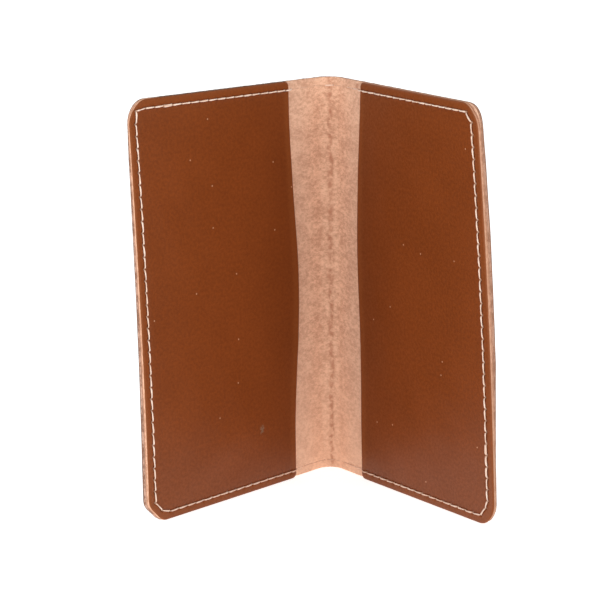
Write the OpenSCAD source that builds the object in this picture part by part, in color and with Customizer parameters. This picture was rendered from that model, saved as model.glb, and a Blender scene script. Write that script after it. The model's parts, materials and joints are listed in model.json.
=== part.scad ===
// Passport holder: a folded leather cover with a stitched pocket on each side.
//
// One blank of leather is folded down its middle, grain side out. A pocket lies on the flesh side
// of each half, flush with its three outer edges, and one seam holds all of it: it runs round the
// holder and across the fold at both ends. The seam is a lockstitch, so one thread shows on the
// face (the inside of the holder) and a second one on the back, and they meet in the awl holes.
// The blank is divided here where it bends: two flat halves and the curved spine between them.
// The holder stands on its bottom edges, half open towards -Y, with the fold upright.
// The right half turns about an upright axis 3.2 mm behind the centre of the fold.

/* [Cover] */
// Height of the holder, along the fold
cover_h = 140; // [125:1:180]
// Width of one half, from the fold line to the outer edge, along the leather
half_w = 92.5; // [75:0.5:120]
// Thickness of the cover's leather
cover_t = 1.4; // [1:0.1:2.5]
// Radius of the four outer corners
corner_r = 8; // [4:0.5:15]
// Radius of the fold on its flesh side
fold_r = 4.8; // [3.8:0.1:7]
// Angle between the two halves as the holder stands
open_angle = 75; // [45:1:120]

/* [Pockets] */
// Thickness of the pockets' leather
pocket_t = 1.2; // [0.8:0.1:2]
// Distance from the fold line to a pocket's mouth, along the leather
mouth_s = 20; // [14:0.5:30]
// Width of the slot that takes one board of a passport
slot_t = 0.6; // [0.3:0.1:1]
// Leather that lies flat on the cover between the seam and the slot
seam_land = 1.2; // [1:0.1:4]

/* [Seam] */
// Length of one stitch, which is fitted to each run of the seam
stitch = 3.9; // [3.2:0.05:6]
// Distance of the seam from the outer side edges
side_inset = 3; // [2:0.1:6]
// Distance of the seam from the top and bottom edges
end_inset = 3.6; // [2:0.1:6]
// Width of the thread
thread_w = 0.7; // [0.4:0.05:1]
// Height of a stitch above the leather
thread_rise = 0.45; // [0.2:0.05:0.8]
// Diameter of the awl holes
hole_d = 1.1; // [1:0.05:1.8]

/* [Hidden] */

FLESH = [0.84, 0.63, 0.50];
GRAIN = [0.50, 0.24, 0.11];
CREAM = [0.95, 0.86, 0.80];

// the fold: half of its sweep, the radius of the leather's middle, and half of its length there
fold_half = (180 - open_angle) / 2;
middle_r = fold_r + cover_t / 2;
arc_half = middle_r * fold_half * PI / 180;
flat_w = half_w - arc_half;
mouth_u = mouth_s - arc_half;
back_r = fold_r + cover_t;
face_r = fold_r - pocket_t;

// the fold's centre stands where the holder's middle is at Y = 0
rear_y = back_r + thread_rise;
front_y = face_r * cos(fold_half) - flat_w * sin(fold_half);
fold_y = -(rear_y + front_y) / 2;

// The holes. Along an end edge a stitch is centred on the fold and another on the pocket's mouth.
corner_leg = stitch / sqrt(2);
seam_u = flat_w - side_inset;
bare_count = round(mouth_s / stitch);
bare_pitch = mouth_s / bare_count;
bare_holes = [for (i = [0:bare_count - 1]) (i + 0.5) * bare_pitch];
end_start = mouth_s + bare_pitch / 2;
end_stop = half_w - side_inset - corner_leg;
end_count = round((end_stop - end_start) / stitch);
end_pitch = (end_stop - end_start) / end_count;
end_holes = [for (i = [0:end_count]) end_start + i * end_pitch];
side_start = end_inset + corner_leg;
side_run = cover_h - 2 * side_start;
side_count = round(side_run / stitch);
side_holes = [for (i = [0:side_count]) side_start + i * side_run / side_count];
seam_heights = [end_inset, cover_h - end_inset];

// the first hole past the fold ends the spine's stitches and starts those of the halves
turn_hole = ceil(arc_half / bare_pitch - 0.5);
spine_right = [for (i = [0:turn_hole]) bare_holes[i]];
spine_holes = concat([for (i = [turn_hole:-1:0]) -bare_holes[i]], spine_right);
half_holes = concat([for (i = [turn_hole:bare_count - 1]) bare_holes[i]], end_holes);

// a thread's leg in its hole, and the dip where two stitches meet
leg_half = 0.3;
dip_half = 0.36;
dip_rise = thread_rise / 2;
// the tight stitch round a corner stands this far off the leather
corner_lift = 0.05;
knot_r = fold_r + cover_t / 2;
pocket_knot_r = (face_r + back_r) / 2;
// The stitches on the fold are bent out of this many flat pieces, which clear its round back.
bend_steps = 6;
bend_r = back_r / cos(bare_pitch / middle_r * 90 / PI / bend_steps) + 0.005;
// leather left beside the slot where the pocket steps up round it
slot_wall = 0.6;
past = 1;

// ---- places on the leather ----

// the point at length s along the leather from the fold line, r from the fold's centre
function on_leather(s, r) =
    let (
        turn = min(abs(s), arc_half) / middle_r * 180 / PI,
        beyond = max(abs(s) - arc_half, 0)
    )
    [sign(s) * (r * sin(turn) + beyond * cos(turn)), r * cos(turn) - beyond * sin(turn)];

// puts the right half's own frame in place: x along the leather from where the fold ends,
// y through the leather from the fold's centre, z up
module on_half() {
    translate([0, fold_y, 0])
        rotate([0, 0, -fold_half])
            children();
}

module mirrored_left() {
    mirror([1, 0, 0])
        children();
}

// ---- leather ----

// outline of the flat leather from x = from to the outer edge, with its two round corners
module flat_outline(from) {
    inner_w = flat_w - corner_r - from;
    translate([from, 0])
        square([inner_w, cover_h]);
    translate([from, corner_r])
        square([flat_w - from, cover_h - 2 * corner_r]);
    for (z = [corner_r, cover_h - corner_r])
        translate([flat_w - corner_r, z])
            circle(r = corner_r, $fn = 64);
}

// outline inside the seam from x = from, a gap away from the stitches and their slanting corners
module inside_seam(from, gap) {
    cut = corner_leg + gap * (sqrt(2) - 2);
    x = seam_u - gap;
    low = end_inset + gap;
    high = cover_h - low;
    polygon([[from, low], [x - cut, low], [x, low + cut], [x, high - cut], [x - cut, high], [from, high]]);
}

// gives an outline its thickness, between two distances from the fold's centre
module sheet(r_near, r_far) {
    translate([0, r_far, 0])
        rotate([90, 0, 0])
            linear_extrude(r_far - r_near)
                children();
}

// one awl hole through the leather at length s from the fold line and height z
module awl_hole(s, z) {
    turn = min(abs(s), arc_half) / middle_r * 180 / PI;
    at = on_leather(s, face_r - past);
    translate([at[0], at[1] + fold_y, z])
        rotate([-90, 0, -sign(s) * turn])
            cylinder(d = hole_d, h = pocket_t + cover_t + 2 * past, $fn = 24);
}

module end_awl_holes(lengths) {
    for (z = seam_heights)
        for (s = lengths)
            awl_hole(s, z);
}

module side_awl_holes() {
    for (z = side_holes)
        awl_hole(half_w - side_inset, z);
}

module cover_half() {
    difference() {
        on_half()
            sheet(fold_r, back_r)
                flat_outline(0);
        end_awl_holes(concat(bare_holes, end_holes));
        side_awl_holes();
    }
}

module pocket() {
    difference() {
        on_half()
            difference() {
                union() {
                    sheet(face_r, fold_r)
                        flat_outline(mouth_u);
                    sheet(face_r - slot_t, fold_r - slot_t)
                        inside_seam(mouth_u, seam_land - slot_wall);
                }
                sheet(fold_r - slot_t, fold_r + past)
                    inside_seam(mouth_u - past, seam_land);
            }
        end_awl_holes(end_holes);
        side_awl_holes();
    }
}

// ---- thread ----

// radius of the leather's surface under a stitch, and of the knot inside the leather
function surface_r(s, face, steps) =
    face ? (s < mouth_s ? fold_r : face_r) : steps > 1 ? bend_r : back_r;
function knot(s) = s < mouth_s ? knot_r : pocket_knot_r;

// Outline of a run of stitches as [length, radius] pairs. It goes out along the leather, down
// into each hole and up again, and comes back over the stitches, with a dip at each hole.
// An end that shares its hole with the next run fills half of it, and whole says which don't.
function under_stitches(holes, face, whole, steps) = [
    for (i = [0:len(holes) - 1])
        let (
            s = holes[i],
            ground = surface_r(s, face, steps),
            last = i == len(holes) - 1,
            a = i == 0 && !whole[0] ? s : s - leg_half,
            b = last && !whole[1] ? s : s + leg_half,
            far = last ? b : holes[i + 1] - leg_half,
            climbs = face && !last && s < mouth_s && far > mouth_s
        )
        each concat(
            [[a, ground], [a, knot(s)], [b, knot(s)], [b, ground]],
            climbs ? [[mouth_s, face_r]] : [],
            climbs || last ? [] :
                [for (k = [1:1:steps - 1]) [b + (far - b) * k / steps, ground]]
        )
];

function over_stitches(holes, face, whole, steps) = let (up = face ? -1 : 1) [
    for (i = [len(holes) - 1:-1:0])
        let (
            s = holes[i],
            top = surface_r(s, face, steps) + up * thread_rise,
            dip = surface_r(s, face, steps) + up * dip_rise,
            last = i == len(holes) - 1,
            a = i > 0 ? s - dip_half : whole[0] ? s - leg_half : s,
            b = !last ? s + dip_half : whole[1] ? s + leg_half : s,
            near = i == 0 ? a : holes[i - 1] + dip_half,
            climbs = face && i > 0 && s > mouth_s && near < mouth_s
        )
        each concat(
            last ? [[b, dip]] : [[b, top], [b, dip]],
            i == 0 ? [[a, dip]] : [[a, dip], [a, top]],
            climbs ? [[mouth_s, top]] : [],
            climbs || i == 0 ? [] :
                [for (k = [1:1:steps - 1]) [a + (near - a) * k / steps, top]]
        )
];

function stitch_outline(holes, face, whole, steps = 1) = concat(
    under_stitches(holes, face, whole, steps),
    over_stitches(holes, face, whole, steps)
);

// stitches along the top and bottom edges
module end_stitches(holes, face, whole, steps = 1) {
    outline = [for (p = stitch_outline(holes, face, whole, steps)) on_leather(p[0], p[1])];
    for (z = seam_heights)
        translate([0, fold_y, z - thread_w / 2])
            linear_extrude(thread_w)
                polygon(outline);
}

// stitches down the outer side, drawn as lengths past the mouth so that they lie on the pocket
module side_stitches(face) {
    level = [for (z = side_holes) z + half_w];
    outline = [for (p = stitch_outline(level, face, [true, true])) [p[1], p[0] - half_w]];
    on_half()
        translate([seam_u - thread_w / 2, 0, 0])
            rotate([90, 0, 90])
                linear_extrude(thread_w)
                    polygon(outline);
}

// the one slanting stitch that turns a corner, from the middle of one hole to the next
module corner_stitch(face) {
    long = corner_leg * sqrt(2);
    r = face ? face_r - thread_rise : back_r + corner_lift;
    on_half()
        for (end = [0, 1])
            translate([seam_u - corner_leg / 2, r, end ? cover_h - side_start + corner_leg / 2
                                                     : side_start - corner_leg / 2])
                rotate([0, end ? 45 : -45, 0])
                    translate([-long / 2, 0, -thread_w / 2])
                        cube([long, thread_rise - corner_lift, thread_w]);
}

module half_stitches(face) {
    end_stitches(half_holes, face, [false, true]);
    side_stitches(face);
    corner_stitch(face);
}

// ---- the pieces ----

module cover_right() {
    color(FLESH)
        cover_half();
}

module cover_left() {
    mirrored_left()
        cover_right();
}

module spine() {
    color(FLESH)
        difference() {
            translate([0, fold_y, 0])
                rotate([0, 0, 90 - fold_half])
                    rotate_extrude(angle = 2 * fold_half, $fn = 96)
                        translate([fold_r, 0])
                            square([cover_t, cover_h]);
            end_awl_holes(spine_holes);
        }
}

module pocket_right() {
    color(GRAIN)
        pocket();
}

module pocket_left() {
    mirrored_left()
        pocket_right();
}

module face_stitch_right() {
    color(CREAM)
        half_stitches(true);
}

module face_stitch_left() {
    mirrored_left()
        face_stitch_right();
}

module face_stitch_spine() {
    color(CREAM)
        end_stitches(spine_holes, true, [false, false], bend_steps);
}

module back_stitch_right() {
    color(CREAM)
        half_stitches(false);
}

module back_stitch_left() {
    mirrored_left()
        back_stitch_right();
}

module back_stitch_spine() {
    color(CREAM)
        end_stitches(spine_holes, false, [false, false], bend_steps);
}

cover_left();
spine();
cover_right();
pocket_left();
pocket_right();
face_stitch_left();
face_stitch_spine();
face_stitch_right();
back_stitch_left();
back_stitch_spine();
back_stitch_right();
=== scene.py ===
import json
import math

import bpy
import numpy as np
from mathutils import Matrix, Vector
from mathutils.geometry import delaunay_2d_cdt


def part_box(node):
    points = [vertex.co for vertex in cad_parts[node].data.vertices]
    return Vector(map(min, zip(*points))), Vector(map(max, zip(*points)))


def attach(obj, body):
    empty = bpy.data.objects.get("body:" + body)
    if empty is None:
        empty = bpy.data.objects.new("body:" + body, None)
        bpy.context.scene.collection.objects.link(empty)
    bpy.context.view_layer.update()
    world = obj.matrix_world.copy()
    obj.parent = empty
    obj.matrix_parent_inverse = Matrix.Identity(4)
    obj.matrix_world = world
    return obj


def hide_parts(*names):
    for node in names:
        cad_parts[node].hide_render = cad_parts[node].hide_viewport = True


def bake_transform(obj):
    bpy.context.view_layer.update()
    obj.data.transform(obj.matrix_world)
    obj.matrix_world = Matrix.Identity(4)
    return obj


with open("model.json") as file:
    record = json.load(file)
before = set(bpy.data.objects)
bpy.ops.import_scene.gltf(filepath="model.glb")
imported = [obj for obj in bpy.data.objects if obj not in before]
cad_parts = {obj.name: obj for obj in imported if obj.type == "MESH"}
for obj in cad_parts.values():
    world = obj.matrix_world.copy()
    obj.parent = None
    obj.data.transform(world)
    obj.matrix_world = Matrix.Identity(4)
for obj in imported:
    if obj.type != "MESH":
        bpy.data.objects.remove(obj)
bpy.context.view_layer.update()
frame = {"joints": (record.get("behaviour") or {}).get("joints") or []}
mm = 0.001

# ---------------------------------------------------------------------------------- cover
# One blank of vegetable-tanned leather, folded down its middle with the grain outside and the
# pale flesh side inside. It is cut with a knife, its edges are left raw, and it has taken a
# slight twist from being carried, so no two of its edges are quite straight.

FOLD_HALF = math.radians(52.5)  # how far each half turns away from flat at the fold
HINGE_BEHIND = 3.2 * mm  # the joint's axis stands this far behind the fold's centre
cover_t = 1.4 * mm
pocket_t = 1.2 * mm
corner_r = 8 * mm

spine_low, spine_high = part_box("spine")
half_low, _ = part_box("cover_right")
cover_h = spine_high.z - spine_low.z
back_r = spine_high.x / math.sin(FOLD_HALF)
fold_r = back_r - cover_t
middle_r = fold_r + cover_t / 2
face_r = fold_r - pocket_t
fold_y = frame["joints"][0]["pos_m"][1] - HINGE_BEHIND
flat_w = (fold_y + fold_r * math.cos(FOLD_HALF) - half_low.y) / math.sin(FOLD_HALF)
half_w = flat_w + middle_r * FOLD_HALF

# How each half has warped, in degrees: its turn at the fold differs by a constant, by a lean from
# its foot to its head, and by a bow between them.
WARP = {-1: (0.49, -2.06, 0.68), 1: (-0.36, 2.82, -0.67)}


def lay(s, z, r):
    """Where a point of the leather stands: s along it from the fold line, up z, r from the fold."""
    s, z, r = (np.asarray(v, float) for v in np.broadcast_arrays(s, z, r))
    side = np.where(s < 0, -1, 1)
    height = 2 * z / cover_h - 1
    more, lean, bow = (np.radians(np.where(side < 0, *pair)) for pair in zip(WARP[-1], WARP[1]))
    half_angle = FOLD_HALF + more + lean * height + bow * (1 / 3 - height**2)
    turn = np.minimum(np.abs(s) / middle_r, half_angle)
    beyond = np.maximum(np.abs(s) - middle_r * half_angle, 0)
    x = side * (r * np.sin(turn) + beyond * np.cos(turn))
    y = fold_y + r * np.cos(turn) - beyond * np.sin(turn)
    return np.stack([x, y, z], axis=-1)


def noise(*places, scale, seed):
    """Smooth hills from about -1 to 1, a scale or so across: a sum of waves with seeded phases."""
    waves, usual_height = 12, 5
    draw = np.random.default_rng(seed)
    total = np.zeros(np.broadcast_shapes(*(np.shape(p) for p in places)))
    for _ in range(waves):
        way = draw.normal(size=len(places))
        way *= draw.uniform(0.6, 1.4) / np.linalg.norm(way)
        phase = sum(w * p for w, p in zip(way, places)) * 2 * math.pi / scale
        total = total + np.sin(phase + draw.uniform(0, 2 * math.pi))
    return total / usual_height


# The seam's awl holes, as (s, z) places on the leather. It runs round the holder and across the
# fold. Its corners were turned by eye: each has its own holes between the end and the side run.
STITCH = 3.95 * mm
MOUTH_S = 20 * mm
BARE_HOLES = np.array([6, 10, 14, 18]) * mm  # between the fold and each mouth
MOUTH_TO_HOLE = 2 * mm
SIDE_INSET = {-1: 2.6 * mm, 1: 3.2 * mm}
seam_low, seam_high = 2.7 * mm, cover_h - 2.9 * mm
# for each corner: where the end run stops, the holes on the turn, and where the side run starts
CORNERS = {
    (-1, 1): (4.4 * mm, [(0.6 * mm, 0.5 * mm)], 4.7 * mm),
    (1, 1): (2.7 * mm, [], 3.2 * mm),
    (1, -1): (8.0 * mm, [(3.7 * mm, 0.3 * mm), (1.1 * mm, 3.3 * mm)], 5.9 * mm),
    (-1, -1): (6.7 * mm, [(3.0 * mm, 1.1 * mm)], 4.3 * mm),
}


def run_of_holes(start, stop):
    return np.linspace(start, stop, round(abs(stop - start) / STITCH) + 1)


def half_holes(side):
    """The holes of one half in order: out along the bottom, up the side and back along the top."""
    seam_s = half_w - SIDE_INSET[side]
    path = []
    for end in (-1, 1):
        end_stop, turn, side_start = CORNERS[side, end]
        z = seam_low if end < 0 else seam_high
        run = [*BARE_HOLES, *run_of_holes(MOUTH_S + MOUTH_TO_HOLE, seam_s - end_stop)]
        corner = [(seam_s - a, z - end * b) for a, b in turn]
        holes = [(s, z) for s in run] + corner
        path.append((holes, z - end * side_start))
    (bottom, z_low), (top, z_high) = path
    sides = [(seam_s, z) for z in run_of_holes(z_low, z_high)]
    return [(side * s, z) for s, z in bottom + sides + top[::-1]]


left_holes, right_holes = half_holes(-1), half_holes(1)
fold_holes = [[(s * mm, z) for s in (-6, -2, 2, 6)] for z in (seam_low, seam_high)]
all_holes = np.array(left_holes + right_holes + fold_holes[0] + fold_holes[1])


def outline(s0, s1, radii, inset=0.0, step=0.8 * mm):
    """A rectangle from s0 to s1 over the cover's height, with its four corners rounded."""
    centres = [(s1, 0, 0), (s1, cover_h, 90), (s0, cover_h, 180), (s0, 0, 270)]
    corners = []
    for (s, z, start), radius in zip(centres, radii):
        r = max(radius - inset, 0.05 * mm)
        to_s, to_z = (-1 if s == s1 else 1), (-1 if z else 1)
        c = Vector((s + to_s * (inset + r), z + to_z * (inset + r)))
        steps = max(2, round(r * math.pi / 2 / step))
        turns = [math.radians(start - 90 + 90 * i / steps) for i in range(steps + 1)]
        corners.append([(c.x + r * math.cos(t), c.y + r * math.sin(t)) for t in turns])
    points = []
    for here, following in zip(corners, corners[1:] + corners[:1]):
        points += here
        a, b = Vector(here[-1]), Vector(following[0])
        steps = max(1, round((b - a).length / step))
        points += [tuple(a.lerp(b, i / steps)) for i in range(1, steps)]
    return np.array(points)


def blank(s0, s1, radii, zones):
    """The flat leather as a triangle mesh of (s, z) points, dense at its edge and round each hole."""
    row_insets = (0.12, 0.3, 0.6, 1.1, 1.8)  # mm from the edge
    ring_sizes = ((0.16, 6), (0.34, 8), (0.5, 10), (0.66, 10), (0.95, 10), (1.4, 10))  # mm, points
    inside_rows, outside_rings = 2.4 * mm, 1.7 * mm
    edge = outline(s0, s1, radii)
    rows = [outline(s0, s1, radii, inset=d * mm) for d in row_insets]
    holes = all_holes[(all_holes[:, 0] > s0) & (all_holes[:, 0] < s1)]
    rings = [holes]
    for radius, count in ring_sizes:
        turns = np.arange(count) * 2 * math.pi / count + radius
        ring = radius * mm * np.stack([np.cos(turns), np.sin(turns)], axis=-1)
        rings.append((holes[:, None] + ring[None]).reshape(-1, 2))
    rings = np.concatenate(rings)
    rings = rings[inset_of(rings, s0, s1, radii) > 0.3 * mm]
    inner = []
    for low, high, pitch in zones:
        s, z = np.meshgrid(np.arange(low, high, pitch), np.arange(0, cover_h, pitch))
        s = s + (np.arange(len(z)) % 2)[:, None] * pitch / 2
        inner.append(np.stack([s, z], axis=-1).reshape(-1, 2))
    inner = np.concatenate(inner)
    inner = inner[inset_of(inner, s0, s1, radii) > inside_rows]
    from_holes = np.hypot(*(inner[:, None] - holes[None]).transpose(2, 0, 1)).min(axis=1)
    inner = inner[from_holes > outside_rings]
    points = np.concatenate([edge, *rows, rings, inner])
    loop = [(i, (i + 1) % len(edge)) for i in range(len(edge))]
    flat, _, faces, *_ = delaunay_2d_cdt([Vector(p) for p in points], loop, [], 1, 1e-7)
    return np.array(flat), np.array(faces), len(edge)


def inset_of(points, s0, s1, radii):
    """How far each point lies inside the outline."""
    s, z = points[:, 0], points[:, 1]
    inset = np.minimum(np.minimum(s - s0, s1 - s), np.minimum(z, cover_h - z))
    for sign_s, sign_z, radius in zip((1, 1, -1, -1), (-1, 1, 1, -1), radii):
        in_s = radius - (s1 - s if sign_s > 0 else s - s0)
        in_z = radius - (cover_h - z if sign_z > 0 else z)
        round_part = radius - np.hypot(in_s, in_z)
        inset = np.where((in_s > 0) & (in_z > 0), round_part, inset)
    return inset


# The side edges were trimmed after sewing with a knife that leaned over in places, so the back of
# the leather ends short of its face: by this much, at these shares of the height.
TRIM_AT = (0, 0.14, 0.26, 0.4, 0.7, 0.87, 1)
TRIM = {-1: (-0.9, -0.8, -0.5, -0.2, 0.3, 0.7, 1.5), 1: (1.5, 1.5, 0.8, -0.3, -0.5, -0.1, 0.3)}
TRIM_REACH = 12 * mm  # the mesh is drawn in over this width


def trimmed(s, z, r):
    """Pulls the side edges in with depth, as the leaning knife left them."""
    side = np.where(s < 0, -1, 1)
    short = np.where(side < 0, *(np.interp(z / cover_h, TRIM_AT, TRIM[i]) * mm for i in (-1, 1)))
    depth = np.clip((r - face_r) / (back_r - face_r), 0, 1) ** 1.5
    near_edge = np.clip((np.abs(s) - half_w) / TRIM_REACH + 1, 0, 1)
    return s - side * short * depth * near_edge


# How far each outer corner is cut in from its round, or left out of it, as a share of its radius.
# At the heads of both halves the cover was left a little fuller than the pocket.
COVER_CUT = {(-1, 1): 0.0, (1, 1): -0.1, (1, -1): 0.03, (-1, -1): 0.13}
POCKET_CUT = {(-1, 1): 0.05, (1, 1): 0.04, (1, -1): 0.03, (-1, -1): 0.13}


def cut_corners(flat, cuts):
    """Moves the leather near each outer corner, so its outline is as it was cut.

    The move goes from nothing where the round starts to the whole cut in the middle of it."""
    s, z = flat[:, 0], flat[:, 1]
    side, end = np.where(s < 0, -1, 1), np.where(z < cover_h / 2, -1, 1)
    in_s = corner_r - (half_w - np.abs(s))
    in_z = corner_r - (cover_h / 2 - np.abs(z - cover_h / 2))
    cut = np.array([cuts[pair] for pair in zip(side.tolist(), end.tolist())])
    squared = in_s**2 + in_z**2 + 1e-12
    move = cut * (2 * in_s * in_z) ** 2 / squared**1.5 / corner_r
    share = np.where((in_s > 0) & (in_z > 0), move, 0)
    return np.stack([s - side * in_s * share, z - end * in_z * share], axis=-1)


def leather(name, flat, faces, edge_count, inset, near_r, far_r, grain_is_near):
    """A sheet of leather as a closed mesh, between two distances from the fold, with a cut edge."""
    wall_rows = 4
    rounding, grain_round, flesh_round = 0.45 * mm, 0.24 * mm, 0.1 * mm
    edge_rough, edge_grit, edge_belly = 0.08 * mm, 1.3 * mm, 0.1 * mm
    s, z = flat[:, 0], flat[:, 1]
    round_off = np.clip(1 - inset / rounding, 0, 1) ** 2
    grain_off, flesh_off = grain_round * round_off, flesh_round * round_off
    near = near_r + (grain_off if grain_is_near else flesh_off)
    far = far_r - (flesh_off if grain_is_near else grain_off)
    rim = slice(0, edge_count)
    layers = [lay(trimmed(s, z, near), z, near)]
    for row in range(1, wall_rows):
        share = row / wall_rows
        r = near[rim] + (far[rim] - near[rim]) * share
        rough = noise(s[rim], z[rim], r * 3, scale=edge_grit, seed=row) * edge_rough
        belly = edge_belly * math.sin(math.pi * share)
        out = np.stack([s[rim], z[rim]], axis=-1) - flat.mean(axis=0)
        out /= np.linalg.norm(out, axis=1)[:, None]
        moved = flat[rim] + out * (rough + belly)[:, None]
        layers.append(lay(trimmed(moved[:, 0], moved[:, 1], r), np.clip(moved[:, 1], 0, None), r))
    layers.append(lay(trimmed(s, z, far), z, far))
    starts = np.cumsum([0] + [len(part) for part in layers])
    near_faces, far_faces = faces.tolist(), (faces[:, ::-1] + starts[-2]).tolist()
    ring = [(i, (i + 1) % edge_count) for i in range(edge_count)]
    walls = [
        [upper + a, upper + b, low + b, low + a]
        for low, upper in zip(starts, starts[1:-1])
        for a, b in ring
    ]
    mesh = bpy.data.meshes.new(name)
    mesh.from_pydata(np.concatenate(layers).tolist(), [], near_faces + far_faces + walls)
    near_kind, far_kind, edge_kind = (0, 1, 2) if grain_is_near else (1, 0, 2)
    kinds = [near_kind] * len(faces) + [far_kind] * len(faces) + [edge_kind] * len(walls)
    mesh.attributes.new("surface", "INT", "FACE").data.foreach_set("value", kinds)
    mesh.shade_smooth()
    uv = mesh.uv_layers.new(name="leather")
    between = wall_rows - 1
    flat_of = np.concatenate([flat] + [flat[rim]] * between + [flat])
    loops = np.zeros(len(mesh.loops), np.int32)
    mesh.loops.foreach_get("vertex_index", loops)
    uv.data.foreach_set("uv", flat_of[loops].astype(np.float32).ravel())
    edge_in = np.concatenate([inset] + [inset[rim]] * between + [inset]).astype(np.float32)
    mesh.attributes.new("inset", "FLOAT", "POINT").data.foreach_set("value", edge_in)
    away = np.concatenate([np.full(len(layer), row / wall_rows) for row, layer in enumerate(layers)])
    towards_grain = (1 - away if grain_is_near else away).astype(np.float32)
    mesh.attributes.new("towards_grain", "FLOAT", "POINT").data.foreach_set("value", towards_grain)
    sheet = bpy.data.objects.new(name, mesh)
    bpy.context.scene.collection.objects.link(sheet)
    return sheet


def put(tree, kind, feeds=None, **settings):
    """Adds a node. feeds gives each input, by name, number or identifier, its value or its source."""
    made = tree.nodes.new(kind)
    for setting, value in settings.items():
        setattr(made, setting, value)
    by_identifier = {socket.identifier: socket for socket in made.inputs}
    for key, value in (feeds or {}).items():
        socket = by_identifier.get(key) or made.inputs[key]
        if isinstance(value, bpy.types.NodeSocket):
            tree.links.new(value, socket)
        else:
            socket.default_value = value
    return made


def maths(tree, operation, *values):
    return put(tree, "ShaderNodeMath", dict(enumerate(values)), operation=operation).outputs[0]


def scaled(tree, vector, factor):
    feeds = {0: vector, "Scale": factor}
    return put(tree, "ShaderNodeVectorMath", feeds, operation="SCALE").outputs[0]


def fade(tree, value, start, stop, at_start=1.0, at_stop=0.0):
    """Goes smoothly from one value to another as its input passes from start to stop."""
    feeds = {"Value": value, "From Min": start, "From Max": stop, "To Min": at_start, "To Max": at_stop}
    return put(tree, "ShaderNodeMapRange", feeds, interpolation_type="SMOOTHSTEP").outputs[0]


def new_tree(name, inputs):
    """A geometry tree with its named inputs, as (tree, its inputs, the geometry output's node)."""
    tree = bpy.data.node_groups.new(name, "GeometryNodeTree")
    tree.interface.new_socket("Geometry", in_out="INPUT", socket_type="NodeSocketGeometry")
    tree.interface.new_socket("Geometry", in_out="OUTPUT", socket_type="NodeSocketGeometry")
    for label, kind in inputs.items():
        tree.interface.new_socket(label, in_out="INPUT", socket_type="NodeSocket" + kind)
    return tree, tree.nodes.new("NodeGroupInput").outputs, tree.nodes.new("NodeGroupOutput")


def run_tree(obj, tree, settings):
    """Runs a tree on an object, and leaves its result as the object's own plain mesh."""
    modifier = obj.modifiers.new(tree.name, "NODES")
    modifier.node_group = tree
    for item in tree.interface.items_tree:
        if item.in_out == "INPUT" and item.name in settings:
            modifier[item.identifier] = settings[item.name]
    obj.update_tag()
    bpy.context.view_layer.update()
    evaluated = obj.evaluated_get(bpy.context.evaluated_depsgraph_get())
    made = bpy.data.meshes.new_from_object(evaluated)
    obj.modifiers.clear()
    obj.data = made
    made.name = obj.name
    return obj


def line_mesh(name, runs, r):
    """Points on the leather at each hole of each run, joined in order."""
    points = [lay(s, z, r) for run in runs for s, z in run]
    starts = np.cumsum([0] + [len(run) for run in runs])
    edges = [(a + i, a + i + 1) for a, run in zip(starts, runs) for i in range(len(run) - 1)]
    mesh = bpy.data.meshes.new(name)
    mesh.from_pydata(points, edges, [])
    lines = bpy.data.objects.new(name, mesh)
    bpy.context.scene.collection.objects.link(lines)
    return lines


punch, given, out = new_tree(
    "awl_holes",
    {
        "Holes": "Object",
        "Hole Width": "Float",
        "Hole Depth": "Float",
        "Pucker Width": "Float",
        "Pucker Depth": "Float",
        "Groove Depth": "Float",
        "Grain": "Material",
        "Flesh": "Material",
        "Cut Edge": "Material",
    },
)
marks = put(punch, "GeometryNodeObjectInfo", {"Object": given["Holes"]}).outputs["Geometry"]
to_hole = put(punch, "GeometryNodeProximity", {0: marks}, target_element="POINTS").outputs["Distance"]
to_seam = put(punch, "GeometryNodeProximity", {0: marks}, target_element="EDGES").outputs["Distance"]
# a hole's rim is torn a little, and its wall slopes between these shares of its width
HOLE_GRIT, HOLE_TEAR = 1400.0, 0.3 * mm
WALL_STARTS, WALL_STOPS = 0.3, 0.62
grit = put(punch, "ShaderNodeTexNoise", {"Scale": HOLE_GRIT}).outputs[0]
ragged = maths(punch, "MULTIPLY", maths(punch, "SUBTRACT", grit, 0.5), HOLE_TEAR)
to_hole = maths(punch, "ADD", to_hole, ragged)
inner_edge = maths(punch, "MULTIPLY", given["Hole Width"], WALL_STARTS)
outer_edge = maths(punch, "MULTIPLY", given["Hole Width"], WALL_STOPS)
sink = fade(punch, to_hole, inner_edge, outer_edge, given["Hole Depth"], 0.0)
pucker = fade(punch, to_hole, 0.0, given["Pucker Width"], given["Pucker Depth"], 0.0)
groove = fade(punch, to_seam, 0.2 * mm, 0.75 * mm, given["Groove Depth"], 0.0)
sink = maths(punch, "ADD", maths(punch, "ADD", sink, pucker), groove)
down = scaled(punch, put(punch, "GeometryNodeInputNormal").outputs[0], maths(punch, "MULTIPLY", sink, -1))
sheet_geometry = put(punch, "GeometryNodeSetPosition", {0: given["Geometry"], "Offset": down}).outputs[0]
sheet_geometry = put(punch, "GeometryNodeRealizeInstances", {0: sheet_geometry}).outputs[0]
surface = put(punch, "GeometryNodeInputNamedAttribute", {"Name": "surface"}, data_type="INT").outputs[0]
for number, label in enumerate(("Grain", "Flesh", "Cut Edge")):
    of_kind = put(punch, "FunctionNodeCompare", {2: surface, 3: number}, data_type="INT", operation="EQUAL")
    feeds = {0: sheet_geometry, "Selection": of_kind.outputs[0], "Material": given[label]}
    sheet_geometry = put(punch, "GeometryNodeSetMaterial", feeds).outputs[0]
punch.links.new(sheet_geometry, out.inputs[0])


def new_material(name, roughness, **sockets):
    """A material with its Principled shader, as (material, tree, shader)."""
    made = bpy.data.materials.new(name)
    made.use_nodes = True
    shader = made.node_tree.nodes["Principled BSDF"]
    shader.inputs["Roughness"].default_value = roughness
    for label, value in sockets.items():
        shader.inputs[label.replace("_", " ")].default_value = value
    return made, made.node_tree, shader


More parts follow.
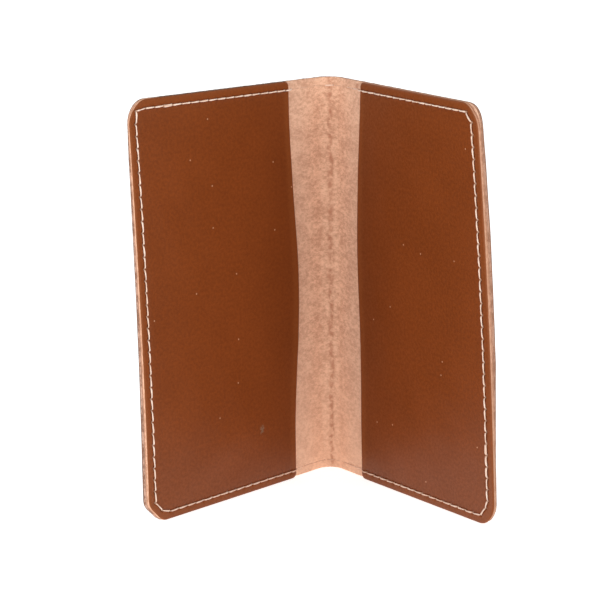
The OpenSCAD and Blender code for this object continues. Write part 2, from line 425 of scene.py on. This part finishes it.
def on_leather(tree, scale, stretch=(1, 1), turn=0.0):
    """Coordinates that follow the leather's own surface, scale patterns to the metre."""
    uv = put(tree, "ShaderNodeUVMap", uv_map="leather").outputs[0]
    feeds = {0: uv, "Scale": (scale * stretch[0], scale * stretch[1], 1), "Rotation": (0, 0, turn)}
    return put(tree, "ShaderNodeMapping", feeds).outputs[0]


def blotch(tree, place, detail=2.0, rough=0.5, distortion=0.0):
    feeds = {"Vector": place, "Scale": 1.0, "Detail": detail, "Roughness": rough, "Distortion": distortion}
    return put(tree, "ShaderNodeTexNoise", feeds).outputs[0]


def tint(tree, amount, first, second):
    """Mixes two colours, each a colour or an output."""
    first, second = ((*c, 1) if isinstance(c, tuple) else c for c in (first, second))
    feeds = {"Factor_Float": amount, "A_Color": first, "B_Color": second}
    return put(tree, "ShaderNodeMix", feeds, data_type="RGBA").outputs[2]


def bump(tree, height, distance, below=None):
    feeds = {"Height": height, "Distance": distance, "Strength": 1.0}
    if below is not None:
        feeds["Normal"] = below
    return put(tree, "ShaderNodeBump", feeds).outputs[0]


def from_place(tree, uv, place, squash=(1, 1)):
    """The distance from a place on the leather, as an output."""
    away = put(tree, "ShaderNodeVectorMath", {0: uv, 1: (*place, 0)}, operation="SUBTRACT").outputs[0]
    away = put(tree, "ShaderNodeVectorMath", {0: away, 1: (*squash, 0)}, operation="MULTIPLY").outputs[0]
    return put(tree, "ShaderNodeVectorMath", {0: away}, operation="LENGTH").outputs["Value"]


GRAIN_LIGHT, GRAIN_DARK = (0.221, 0.0485, 0.0088), (0.153, 0.0310, 0.0045)
EDGE_TONE = (0.27, 0.075, 0.018)
WAX_TONE = (1.0, 0.92, 0.72, 1.0)
SPECK_TONE = (0.62, 0.34, 0.2)
SCUFF_TONE = (0.20, 0.15, 0.10)
SCUFF_AT = (-37 * mm, 21 * mm)  # a small grey scuff on the left half


def grain_material(name):
    """Smooth tan grain: cloudy colour, pores, fine creases, dust specks and a rubbed edge.

    It is painted darker towards the fold, as shade, and the wax in its finish reflects warm."""
    made, tree, shader = new_material(name, 0.4, Specular_IOR_Level=0.26, Specular_Tint=WAX_TONE)
    clouds = fade(tree, blotch(tree, on_leather(tree, 50), detail=3), 0.3, 0.7, 0.0, 1.0)
    mottle = fade(tree, blotch(tree, on_leather(tree, 950), detail=3, rough=0.75), 0.34, 0.66, 0.0, 1.0)
    shade = maths(tree, "MULTIPLY_ADD", mottle, 0.75, maths(tree, "MULTIPLY", clouds, 0.25))
    colour = tint(tree, shade, GRAIN_LIGHT, GRAIN_DARK)
    uv = put(tree, "ShaderNodeUVMap", uv_map="leather").outputs[0]
    from_fold = maths(tree, "ABSOLUTE", put(tree, "ShaderNodeSeparateXYZ", {0: uv}).outputs[0])
    # painted shade: the grain darkens towards the fold, where the two halves shade each other
    painted_fold_shade = fade(tree, from_fold, 19 * mm, 48 * mm, 0.26, 0.0)
    colour = tint(tree, painted_fold_shade, colour, tuple(0.75 * channel for channel in GRAIN_DARK))
    inset = put(tree, "ShaderNodeAttribute", attribute_name="inset").outputs["Fac"]
    colour = tint(tree, fade(tree, inset, 1.6 * mm, 3.6 * mm, 0.3, 0.0), colour, EDGE_TONE)
    feeds = {"Vector": on_leather(tree, 105), "Scale": 1.0}
    speck = put(tree, "ShaderNodeTexVoronoi", feeds, voronoi_dimensions="2D")
    near_speck = fade(tree, speck.outputs["Distance"], 0.018, 0.036, 1.0, 0.0)
    chosen = put(tree, "ShaderNodeSeparateColor", {0: speck.outputs["Color"]}).outputs[0]
    few = maths(tree, "MULTIPLY", maths(tree, "GREATER_THAN", chosen, 0.86), 0.75)
    colour = tint(tree, maths(tree, "MULTIPLY", near_speck, few), colour, SPECK_TONE)
    away = from_place(tree, uv, SCUFF_AT, squash=(1, 0.6))
    away = maths(tree, "MULTIPLY_ADD", maths(tree, "SUBTRACT", mottle, 0.5), 1.2 * mm, away)
    colour = tint(tree, fade(tree, away, 0.2 * mm, 1.1 * mm, 0.55, 0.0), colour, SCUFF_TONE)
    tree.links.new(colour, shader.inputs["Base Color"])
    feeds = {"Vector": on_leather(tree, 1500), "Scale": 1.0}
    pores = put(tree, "ShaderNodeTexVoronoi", feeds, voronoi_dimensions="2D")
    pore_height = fade(tree, pores.outputs["Distance"], 0.05, 0.45, 0.0, 1.0)
    crease = blotch(tree, on_leather(tree, 260, turn=0.5), detail=6, rough=0.65, distortion=0.6)
    normal = bump(tree, crease, 0.06 * mm)
    normal = bump(tree, pore_height, 0.01 * mm, below=normal)
    tree.links.new(normal, shader.inputs["Normal"])
    tree.links.new(fade(tree, mottle, 0.0, 1.0, 0.36, 0.46), shader.inputs["Roughness"])
    return made


FLESH_LIGHT, FLESH_DARK = (0.88, 0.56, 0.385), (0.60, 0.325, 0.21)
FLESH_GREY = (0.62, 0.40, 0.29)
CREASE_TONE = (0.42, 0.165, 0.09)
RUB_AT = (16.8 * mm, 138.2 * mm)  # a brown rub beside the head of the right pocket's mouth


def flesh_material(name, crease_tone):
    """Suede flesh side: a mottled nap, greyer away from the fold, with a broken crease down it."""
    made, tree, shader = new_material(name, 0.95, Specular_IOR_Level=0.1, Sheen_Weight=0.15)
    clumps = blotch(tree, on_leather(tree, 850, stretch=(0.65, 1), turn=0.4), detail=3, rough=0.65)
    fibres = blotch(tree, on_leather(tree, 2000, stretch=(0.6, 1), turn=-0.5), detail=2, rough=0.7)
    wide = blotch(tree, on_leather(tree, 210, stretch=(0.65, 1)), detail=3)
    mix = maths(tree, "MULTIPLY_ADD", fibres, 0.35, maths(tree, "MULTIPLY", clumps, 0.65))
    mix = maths(tree, "MULTIPLY_ADD", wide, 0.4, maths(tree, "SUBTRACT", mix, 0.2))
    colour = tint(tree, fade(tree, mix, 0.34, 0.66, 1.0, 0.0), FLESH_LIGHT, FLESH_DARK)
    uv = put(tree, "ShaderNodeUVMap", uv_map="leather").outputs[0]
    across, height = put(tree, "ShaderNodeSeparateXYZ", {0: uv}).outputs[:2]
    # painted light: the flesh is paler towards its foot, as the light the floor throws up
    painted_floor_light = fade(tree, height, 0.0, 60 * mm, 0.4, 0.0)
    colour = tint(tree, painted_floor_light, colour, tuple(1.08 * channel for channel in FLESH_LIGHT))
    greyer = fade(tree, maths(tree, "ABSOLUTE", across), 6 * mm, 17 * mm, 0.0, 0.25)
    colour = tint(tree, greyer, colour, FLESH_GREY)
    wander = maths(tree, "SUBTRACT", blotch(tree, on_leather(tree, 150), detail=3), 0.5)
    wander = maths(tree, "MULTIPLY_ADD", wander, 3.5 * mm, -0.3 * mm)
    from_fold = maths(tree, "ABSOLUTE", maths(tree, "ADD", across, wander))
    crease = fade(tree, from_fold, 0.1 * mm, 2.5 * mm, 0.36, 0.0)
    crease = maths(tree, "ADD", crease, fade(tree, from_fold, 0.2 * mm, 1.4 * mm, 0.38, 0.0))
    gaps = blotch(tree, on_leather(tree, 520, stretch=(0.8, 0.8)), detail=3)
    broken = fade(tree, gaps, 0.4, 0.6, 0.2, 1.0)
    colour = tint(tree, maths(tree, "MULTIPLY", crease, broken), colour, crease_tone)
    away = from_place(tree, uv, RUB_AT)
    away = maths(tree, "MULTIPLY_ADD", maths(tree, "SUBTRACT", clumps, 0.5), 1.5 * mm, away)
    colour = tint(tree, fade(tree, away, 0.3 * mm, 1.5 * mm, 0.6, 0.0), colour, crease_tone)
    tree.links.new(colour, shader.inputs["Base Color"])
    tree.links.new(bump(tree, mix, 0.3 * mm), shader.inputs["Normal"])
    return made


# the first is painted shade for the right half's edge, the second the burnished head's colour
RIGHT_EDGE_SHADE_TONE, BURNISHED_TONE = (0.30, 0.14, 0.08), (0.10, 0.045, 0.025)


def edge_material(name, light, dark, rim, rim_width):
    """A raw cut edge: packed fibres, with the dyed grain as a dark rim and painted shade between the
    layers.

    The right half's edge is painted darker, as shade, and the head of the left half is burnished dark."""
    made, tree, shader = new_material(name, 0.85, Specular_IOR_Level=0.2)
    place = put(tree, "ShaderNodeTexCoord").outputs["Object"]
    feeds = {0: place, "Scale": (1100, 1100, 800)}
    fibres = blotch(tree, put(tree, "ShaderNodeMapping", feeds).outputs[0], detail=4, rough=0.7)
    feeds = {0: place, "Scale": (420, 420, 330)}
    patches = blotch(tree, put(tree, "ShaderNodeMapping", feeds).outputs[0], detail=3)
    mix = maths(tree, "MULTIPLY_ADD", patches, 0.5, maths(tree, "MULTIPLY", fibres, 0.5))
    colour = tint(tree, fade(tree, mix, 0.43, 0.57, 1.0, 0.0), light, dark)
    depth = put(tree, "ShaderNodeAttribute", attribute_name="towards_grain").outputs["Fac"]
    ragged = maths(tree, "MULTIPLY_ADD", maths(tree, "SUBTRACT", patches, 0.5), 0.5, depth)
    colour = tint(tree, fade(tree, ragged, 1 - 1.6 * rim_width, 1 - 0.6 * rim_width, 0.0, 1.0), colour, rim)
    # painted shadow: the edge darkens towards its flesh side, as the shade between the two layers
    colour = tint(tree, fade(tree, ragged, 0.0, 0.22, 0.75, 0.0), colour, rim)
    uv = put(tree, "ShaderNodeUVMap", uv_map="leather").outputs[0]
    across, height = put(tree, "ShaderNodeSeparateXYZ", {0: uv}).outputs[:2]
    # painted shade: the edge darkens from the left half to the right half
    right_edge_shade = fade(tree, across, -20 * mm, 20 * mm, 0.0, 0.5)
    colour = tint(tree, right_edge_shade, colour, RIGHT_EDGE_SHADE_TONE)
    burnished = fade(tree, height, cover_h - 4 * mm, cover_h - 1.5 * mm, 0.0, 0.85)
    burnished = maths(tree, "MULTIPLY", burnished, fade(tree, across, -85 * mm, -78 * mm, 0.0, 1.0))
    burnished = maths(tree, "MULTIPLY", burnished, fade(tree, across, -21 * mm, -19 * mm))
    colour = tint(tree, burnished, colour, BURNISHED_TONE)
    tree.links.new(colour, shader.inputs["Base Color"])
    tree.links.new(bump(tree, mix, 0.2 * mm), shader.inputs["Normal"])
    return made


cover_grain = grain_material("cover_grain")
cover_flesh = flesh_material("cover_flesh", CREASE_TONE)
cover_edge = edge_material(
    "cover_edge",
    light=(0.58, 0.35, 0.26),
    dark=(0.28, 0.14, 0.09),
    rim=(0.12, 0.06, 0.035),
    rim_width=0.25,
)

radii = [corner_r] * 4
STRIP_HALF, STRIP_PITCH, HIDDEN_PITCH = 22 * mm, 0.8 * mm, 1.9 * mm  # the mesh is finest at the strip
zones = [
    (-half_w, -STRIP_HALF, HIDDEN_PITCH),
    (-STRIP_HALF, STRIP_HALF, STRIP_PITCH),
    (STRIP_HALF, half_w, HIDDEN_PITCH),
]
flat, faces, rim_count = blank(-half_w, half_w, radii, zones)
inset = inset_of(flat, -half_w, half_w, radii)
s, z = flat[:, 0], flat[:, 1]
CREASE_W, CREASE_DEPTH, CREASE_WANDER = 1.6 * mm, 0.16 * mm, 0.7 * mm
from_crease = s + CREASE_WANDER * noise(z, scale=30 * mm, seed=4)
crease = np.exp(-((from_crease / CREASE_W) ** 2))
crease *= 0.75 + 0.4 * noise(s, z, scale=5 * mm, seed=5)
nap = 0.07 * mm * noise(s, z, scale=2.6 * mm, seed=6) + 0.05 * mm * noise(s, z, scale=1.7 * mm, seed=7)
bare = np.clip((21 * mm - np.abs(s)) / (2 * mm), 0, 1)
near = fold_r + CREASE_DEPTH * crease + nap * bare + 0.05 * mm
far = back_r - 0.03 * mm * (1 + noise(s, z, scale=14 * mm, seed=8))
flat = cut_corners(flat, COVER_CUT)
cover = leather("cover", flat, faces, rim_count, inset, near, far, grain_is_near=False)

back_marks = line_mesh("back_marks", [left_holes, right_holes, *fold_holes], back_r)
cover = run_tree(
    cover,
    punch,
    {
        "Holes": back_marks,
        "Hole Width": 1.0 * mm,
        "Hole Depth": 0.5 * mm,
        "Pucker Width": 1.8 * mm,
        "Pucker Depth": 0.1 * mm,
        "Groove Depth": 0.12 * mm,
        "Grain": cover_grain,
        "Flesh": cover_flesh,
        "Cut Edge": cover_edge,
    },
)
bpy.data.objects.remove(back_marks)
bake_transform(cover)
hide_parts("cover_left", "spine", "cover_right")

# -------------------------------------------------------------------------------- pockets
# A sheet of the same leather on each half, grain side to the reader, trimmed together with the
# cover after sewing. It is held on three edges only, so its mouth stands off the cover a little
# and leaves the slot that takes one board of a passport.

# how far each mouth stands off, at what height the most, and how far that spreads up and inwards
GAPE = {-1: 2.0 * mm, 1: 1.05 * mm}
GAPE_MIDDLE = {-1: 70 * mm, 1: 85 * mm}
GAPE_HALF = 31 * mm
GAPE_REACH = 42 * mm
SLOT = 0.12 * mm  # what is left of the slot where the pocket lies on the cover
MOUTH_CORNER_R = 1.6 * mm
# where the mouths were cut by hand, in mm from the fold, at these shares of the height
CUT_AT = (0, 0.14, 0.34, 0.57, 0.79, 0.89, 1)
CUT = {
    -1: (19.1, 19.3, 18.5, 18.8, 19.6, 20.2, 20.3),
    1: (18.9, 18.6, 18.9, 18.7, 19.0, 19.8, 20.9),
}
CUT_REACH = 9 * mm  # the mesh is drawn along with the mouth over this width


def gape(s, z, side):
    """How far the pocket stands off the cover: most at the middle of its mouth."""
    along = np.clip(1 - (np.abs(s) - MOUTH_S) / GAPE_REACH, 0, 1)
    up = np.clip((z - seam_low) / (seam_high - seam_low), 0, 1)
    swell = np.exp(-(((z - GAPE_MIDDLE[side]) / GAPE_HALF) ** 2))
    return GAPE[side] * along**1.6 * swell * np.sin(math.pi * up) ** 0.3


def hand_cut(s, z, side):
    """Moves the mouth from its straight line to where it was cut."""
    to_cut = np.interp(z / cover_h, CUT_AT, CUT[side]) * mm - MOUTH_S
    return s + side * to_cut * np.clip(1 - (np.abs(s) - MOUTH_S) / CUT_REACH, 0, 1)


pocket_grain = grain_material("pocket_grain")
pocket_flesh = flesh_material("pocket_flesh", FLESH_DARK)
pocket_edge = edge_material(
    "pocket_edge",
    light=(0.84, 0.49, 0.33),
    dark=(0.62, 0.32, 0.20),
    rim=(0.30, 0.12, 0.045),
    rim_width=0.14,
)

for side, name, holes in ((-1, "left", left_holes), (1, "right", right_holes)):
    s0, s1 = (-half_w, -MOUTH_S) if side < 0 else (MOUTH_S, half_w)
    radii = [corner_r, corner_r, MOUTH_CORNER_R, MOUTH_CORNER_R][::side]
    flat, faces, rim_count = blank(s0, s1, radii, [(s0, s1, 1.5 * mm)])
    inset = inset_of(flat, s0, s1, radii)
    s, z = flat[:, 0], flat[:, 1]
    stand = gape(s, z, side)
    ripple = 0.05 * mm * noise(s, z, scale=17 * mm, seed=20 + side)
    near = face_r - stand + ripple * np.clip((inset - 2 * mm) / (4 * mm), 0, 1)
    far = fold_r - stand - SLOT * np.clip((inset - 1 * mm) / (2 * mm), 0, 1)
    flat = cut_corners(np.stack([hand_cut(s, z, side), z], axis=-1), POCKET_CUT)
    panel = f"pocket_{name}_panel"
    pocket = leather(panel, flat, faces, rim_count, inset, near, far, grain_is_near=True)
    pocket_holes = [hole for hole in holes if abs(hole[0]) > MOUTH_S]
    marks = line_mesh("pocket_marks", [pocket_holes], face_r)
    pocket = run_tree(
        pocket,
        punch,
        {
            "Holes": marks,
            "Hole Width": 0.9 * mm,
            "Hole Depth": 0.5 * mm,
            "Pucker Width": 1.8 * mm,
            "Pucker Depth": 0.12 * mm,
            "Groove Depth": 0.12 * mm,
            "Grain": pocket_grain,
            "Flesh": pocket_flesh,
            "Cut Edge": pocket_edge,
        },
    )
    bpy.data.objects.remove(marks)
    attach(pocket, f"{name}_half")
    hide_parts(f"pocket_{name}")

# ----------------------------------------------------------------------------------- seam
# A lockstitch in cream waxed thread of two plies, one thread on the face and one on the back.
# Each stitch lies a little askew between its holes, where it dives to lock with the other, and
# the sewing was ended by going twice over the last few stitches.

THREAD_W = 0.54 * mm
THREAD_RISE = 0.24 * mm
DIVE = 0.5 * mm
SLANT = 0.14 * mm
TWIST = 3.0  # radians in one stitch
STITCH_POINTS = 11
ARCH_POWER, DIVE_POWER = 4.0, 10.0  # a stitch is flat for most of its length, and dives at its ends
PLY_HALF_W, PLY_HALF_T, PLY_SIDES = 0.5, 0.36, 8  # shares of the thread's width
THREAD_LIGHT, THREAD_DARK = (0.93, 0.74, 0.62), (0.86, 0.62, 0.48)
SOIL_TONE = (0.40, 0.19, 0.10)

lockstitch, given, out = new_tree(
    "lockstitch",
    {
        "Thread Width": "Float",
        "Rise": "Float",
        "Depth": "Float",
        "Slant": "Float",
        "Twist": "Float",
        "Seed": "Int",
        "Thread": "Material",
    },
)


def stored(name, kind, output):
    read = put(lockstitch, "GeometryNodeInputNamedAttribute", {"Name": name}, data_type=kind)
    return read.outputs[output]


def random_of_stitch(low, high, offset):
    seed = maths(lockstitch, "ADD", given["Seed"], offset)
    feeds = {"Min_001": low, "Max_001": high, "ID": stored("stitch", "INT", 0), "Seed": seed}
    return put(lockstitch, "FunctionNodeRandomValue", feeds, data_type="FLOAT").outputs[1]


run = put(lockstitch, "GeometryNodeMeshToCurve", {0: given["Geometry"]}).outputs[0]
run = put(lockstitch, "GeometryNodeResampleCurve", {"Curve": run, "Count": STITCH_POINTS}).outputs[0]
along = put(lockstitch, "GeometryNodeSplineParameter").outputs["Factor"]
run = put(
    lockstitch,
    "GeometryNodeStoreNamedAttribute",
    {"Geometry": run, "Name": "along", "Value": along},
    data_type="FLOAT",
    domain="POINT",
).outputs[0]
along = stored("along", "FLOAT", 0)
signed = maths(lockstitch, "MULTIPLY_ADD", along, 2.0, -1.0)
ends = maths(lockstitch, "ABSOLUTE", signed)
arch = maths(lockstitch, "SUBTRACT", 1.0, maths(lockstitch, "POWER", ends, ARCH_POWER))
rise = maths(lockstitch, "MULTIPLY", given["Rise"], random_of_stitch(0.85, 1.2, 1))
rise = maths(lockstitch, "MULTIPLY", rise, stored("lift", "FLOAT", 0))
height = maths(lockstitch, "MULTIPLY", rise, arch)
dive = maths(lockstitch, "MULTIPLY", maths(lockstitch, "POWER", ends, DIVE_POWER), given["Depth"])
height = maths(lockstitch, "SUBTRACT", height, dive)
round_part = maths(lockstitch, "SUBTRACT", 1.0, maths(lockstitch, "MULTIPLY", ends, ends))
height = maths(lockstitch, "MULTIPLY_ADD", stored("bulge", "FLOAT", 0), round_part, height)
up = stored("leather_up", "FLOAT_VECTOR", 0)
tangent = put(lockstitch, "GeometryNodeInputTangent").outputs[0]
aside = put(lockstitch, "ShaderNodeVectorMath", {0: up, 1: tangent}, operation="CROSS_PRODUCT").outputs[0]
askew = maths(lockstitch, "MULTIPLY", given["Slant"], random_of_stitch(0.3, 1.4, 2))
signed_slant = maths(lockstitch, "MULTIPLY", signed, stored("slant", "FLOAT", 0))
askew = maths(lockstitch, "MULTIPLY", askew, signed_slant)
askew = maths(lockstitch, "ADD", askew, stored("aside", "FLOAT", 0))
offset = put(
    lockstitch,
    "ShaderNodeVectorMath",
    {0: scaled(lockstitch, up, height), 1: scaled(lockstitch, aside, askew)},
    operation="ADD",
).outputs[0]
run = put(lockstitch, "GeometryNodeSetPosition", {0: run, "Offset": offset}).outputs[0]
turn = maths(lockstitch, "MULTIPLY_ADD", along, given["Twist"], random_of_stitch(0.0, 3.14, 3))
run = put(lockstitch, "GeometryNodeSetCurveTilt", {0: run, "Tilt": turn}).outputs[0]
feeds = {"Resolution": PLY_SIDES, "Radius": 1.0}
ply = put(lockstitch, "GeometryNodeCurvePrimitiveCircle", feeds, mode="RADIUS").outputs[0]
feeds = {"Geometry": ply, "Scale": (PLY_HALF_W, PLY_HALF_T, 1.0)}
ply = put(lockstitch, "GeometryNodeTransform", feeds).outputs[0]
wide = maths(lockstitch, "MULTIPLY", given["Thread Width"], random_of_stitch(0.92, 1.1, 4))
wide = maths(lockstitch, "MULTIPLY", wide, stored("wide", "FLOAT", 0))
feeds = {"Curve": run, "Profile Curve": ply, "Scale": wide, "Fill Caps": True}
thread_mesh = put(lockstitch, "GeometryNodeCurveToMesh", feeds).outputs[0]
thread_mesh = put(lockstitch, "GeometryNodeSetShadeSmooth", {0: thread_mesh}).outputs[0]
thread_mesh = put(lockstitch, "GeometryNodeRealizeInstances", {0: thread_mesh}).outputs[0]
feeds = {0: thread_mesh, "Material": given["Thread"]}
lockstitch.links.new(put(lockstitch, "GeometryNodeSetMaterial", feeds).outputs[0], out.inputs[0])

cream, tree, shader = new_material("waxed_cream_thread", 0.6, Specular_IOR_Level=0.3)
lay_of = put(tree, "ShaderNodeAttribute", attribute_name="along").outputs["Fac"]
from_middle = maths(tree, "ABSOLUTE", maths(tree, "SUBTRACT", lay_of, 0.5))
soil = fade(tree, from_middle, 0.33, 0.47, 0.0, 0.8)
place = put(tree, "ShaderNodeTexCoord").outputs["Object"]
patches = blotch(tree, put(tree, "ShaderNodeMapping", {0: place, "Scale": (240,) * 3}).outputs[0])
colour = tint(tree, fade(tree, patches, 0.35, 0.65, 0.0, 1.0), THREAD_LIGHT, THREAD_DARK)
colour = tint(tree, soil, colour, SOIL_TONE)
dusted = put(tree, "ShaderNodeAttribute", attribute_name="dusted").outputs["Fac"]
colour = tint(tree, dusted, colour, FLESH_DARK)
tree.links.new(colour, shader.inputs["Base Color"])
fibre = blotch(tree, put(tree, "ShaderNodeMapping", {0: place, "Scale": (4000,) * 3}).outputs[0])
tree.links.new(bump(tree, fibre, 0.03 * mm), shader.inputs["Normal"])


# the two places where the seam was gone over twice: up the right side, and at the head's left end
DOUBLED_FROM_S, DOUBLED_Z = 80 * mm, (16 * mm, 29.5 * mm)
DOUBLED_FROM_Z, DOUBLED_S = 130 * mm, (-79 * mm, -74.5 * mm)
DOUBLED_APART = 0.2 * mm
# how far the thread has taken on the leather's colour: along the foot, at these places from the
# fold, and on the bare strip, where it has also sunk into the nap, though less past CLEANER_FROM
FOOT_AT, FOOT_DUST = (18 * mm, 45 * mm, 85 * mm), (0.55, 0.3, 0.15)
CLEANER_FROM = 8 * mm
SUNK, CLEANER = {"lift": -0.7, "dusted": 0.8}, {"lift": 0.3, "dusted": 0.35}


def surface_r(s, on_face):
    """The distance from the fold of the surface that a thread lies on."""
    if not on_face:
        return back_r
    return face_r if abs(s) > MOUTH_S else fold_r


def is_doubled(s_b, s_mid, z_mid):
    on_side = s_b > DOUBLED_FROM_S and DOUBLED_Z[0] < z_mid < DOUBLED_Z[1]
    return on_side or (z_mid > DOUBLED_FROM_Z and DOUBLED_S[0] < s_mid < DOUBLED_S[1])


def wear_of(s_mid, z_mid, on_face):
    """How a stitch has worn: the share of its rise that is left, and how dusted it is."""
    on_strip = on_face and abs(s_mid) < MOUTH_S - 1 * mm
    if on_strip and (abs(s_mid) > 3 * mm or z_mid < cover_h / 2):
        return {"wide": 0.85, **(CLEANER if s_mid > CLEANER_FROM else SUNK)}
    at_foot = on_face and z_mid < seam_low + 0.5 * mm
    dust = float(np.interp(abs(s_mid), FOOT_AT, FOOT_DUST)) if at_foot else 0.0
    return {"wide": 1.0, "lift": 1.0, "dusted": dust}


def stitches(name, runs, on_face, bodies, nodes, seed):
    """One thread's stitches along some runs of holes, as one piece."""
    out_of = -1 if on_face else 1
    points, ups, ids = [], [], []
    of_stitch = {label: [] for label in ("wide", "lift", "bulge", "aside", "slant", "dusted")}
    for run in runs:
        for (s_a, z_a), (s_b, z_b) in zip(run, run[1:]):
            a = lay(s_a, z_a, surface_r(s_a, on_face))
            b = lay(s_b, z_b, surface_r(s_b, on_face))
            s_mid, z_mid = (s_a + s_b) / 2, (z_a + z_b) / 2
            from_pocket = on_face and max(abs(s_a), abs(s_b)) > MOUTH_S
            middle = lay(s_mid, z_mid, face_r if from_pocket else surface_r(s_mid, on_face))
            out_way = (lay(s_mid, z_mid, back_r) - lay(s_mid, z_mid, fold_r)) * out_of
            out_way /= np.linalg.norm(out_way)
            bulge = float((middle - (a + b) / 2) @ out_way)
            worn = wear_of(s_mid, z_mid, on_face)
            slant = 1.0 if s_a == s_b else 0.45
            double = is_doubled(s_b, s_mid, z_mid)
            if double:
                worn = {**worn, "wide": 0.85, "lift": 1.2}
            for strand in (-1, 1) if double else (0,):
                points += [a, b]
                ups += [out_way, out_way]
                ids += [len(ids) // 2] * 2
                here = {**worn, "bulge": bulge, "aside": strand * DOUBLED_APART, "slant": slant}
                for label, value in here.items():
                    of_stitch[label] += [value, value]
    mesh = bpy.data.meshes.new(name)
    mesh.from_pydata(points, [(i, i + 1) for i in range(0, len(points), 2)], [])
    mesh.attributes.new("leather_up", "FLOAT_VECTOR", "POINT").data.foreach_set("vector", np.ravel(ups))
    mesh.attributes.new("stitch", "INT", "POINT").data.foreach_set("value", ids)
    for label, values in of_stitch.items():
        mesh.attributes.new(label, "FLOAT", "POINT").data.foreach_set("value", values)
    thread = bpy.data.objects.new(name, mesh)
    bpy.context.scene.collection.objects.link(thread)
    settings = {
        "Thread Width": THREAD_W,
        "Rise": THREAD_RISE,
        "Depth": DIVE,
        "Slant": SLANT,
        "Twist": TWIST,
        "Seed": seed,
        "Thread": cream,
    }
    thread = run_tree(thread, lockstitch, settings)
    if len(bodies) == 2:
        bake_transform(thread)
    else:
        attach(thread, *bodies)
    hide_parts(*nodes)


def parted(holes):
    """Splits one half's holes into the run that lies on the half and its two ends on the fold."""
    on_half = [h for h in holes if abs(h[0]) > MOUTH_S]
    low_end = [h for h in holes if abs(h[0]) < MOUTH_S + 3 * mm and h[1] < cover_h / 2]
    high_end = [h for h in holes if abs(h[0]) < MOUTH_S + 3 * mm and h[1] > cover_h / 2]
    return on_half, low_end, high_end


left_run, left_low, left_high = parted(left_holes)
right_run, right_low, right_high = parted(right_holes)
across = [
    sorted(set(left_low + fold_holes[0] + right_low)),
    sorted(set(left_high + fold_holes[1] + right_high), reverse=True),
]
stretches = (
    ("left", "left", [left_run[::-1]], ["left_half"]),
    ("right", "right", [right_run], ["right_half"]),
    ("fold", "spine", across, ["left_half", "right_half"]),
)
for label, on_face, first_seed in (("face", True, 3), ("back", False, 13)):
    for seed, (place, node, runs, bodies) in enumerate(stretches, first_seed):
        stitches(f"{label}_thread_{place}", runs, on_face, bodies, [f"{label}_stitch_{node}"], seed)

# ------------------------------------------------------------------- floor, light, camera
# A white sweep under soft daylight, with the camera a little above the holder and right of it.

bpy.ops.mesh.primitive_plane_add(size=24)
floor = bpy.context.object
floor.name = "floor"
white, tree, shader = new_material("floor_white", 0.9, Specular_IOR_Level=0.1)
shader.inputs["Base Color"].default_value = (0.9, 0.9, 0.9, 1)
shader.inputs["Emission Color"].default_value = (1, 1, 1, 1)
shader.inputs["Emission Strength"].default_value = 0.65
floor.data.materials.append(white)

world = bpy.data.worlds.new("studio")
world.use_nodes = True
world.node_tree.nodes["Background"].inputs["Color"].default_value = (1, 1, 1, 1)
world.node_tree.nodes["Background"].inputs["Strength"].default_value = 0.62
bpy.context.scene.world = world


def soft_light(name, place, aim, size, power):
    light = bpy.data.lights.new(name, "AREA")
    light.size, light.energy = size, power
    lamp = bpy.data.objects.new(name, light)
    lamp.location = place
    lamp.rotation_euler = (Vector(aim) - Vector(place)).to_track_quat("-Z", "Y").to_euler()
    bpy.context.scene.collection.objects.link(lamp)


holder_middle = (0, 0, cover_h / 2)
soft_light("key", (-0.95, -0.95, 0.7), holder_middle, size=0.7, power=6)
soft_light("fill", (0.95, -0.95, 0.7), holder_middle, size=0.7, power=6.5)

camera = bpy.data.cameras.new("camera")
camera.lens, camera.sensor_width = 142.75, 36
eye = bpy.data.objects.new("camera", camera)
yaw, pitch, roll = math.radians(-5.685), math.radians(11.902), math.radians(-0.439)
forward = Vector((math.sin(yaw) * math.cos(pitch), math.cos(yaw) * math.cos(pitch), -math.sin(pitch)))
level = Vector((math.cos(yaw), -math.sin(yaw), 0))
above = level.cross(forward)
right = level * math.cos(roll) + above * math.sin(roll)
upward = above * math.cos(roll) - level * math.sin(roll)
eye.matrix_world = Matrix((right, upward, -forward)).transposed().to_4x4()
eye.location = (70.7 * mm, -783.19 * mm, 234.28 * mm)
bpy.context.scene.collection.objects.link(eye)
bpy.context.scene.camera = eye
bpy.context.scene.view_settings.view_transform = "Standard"
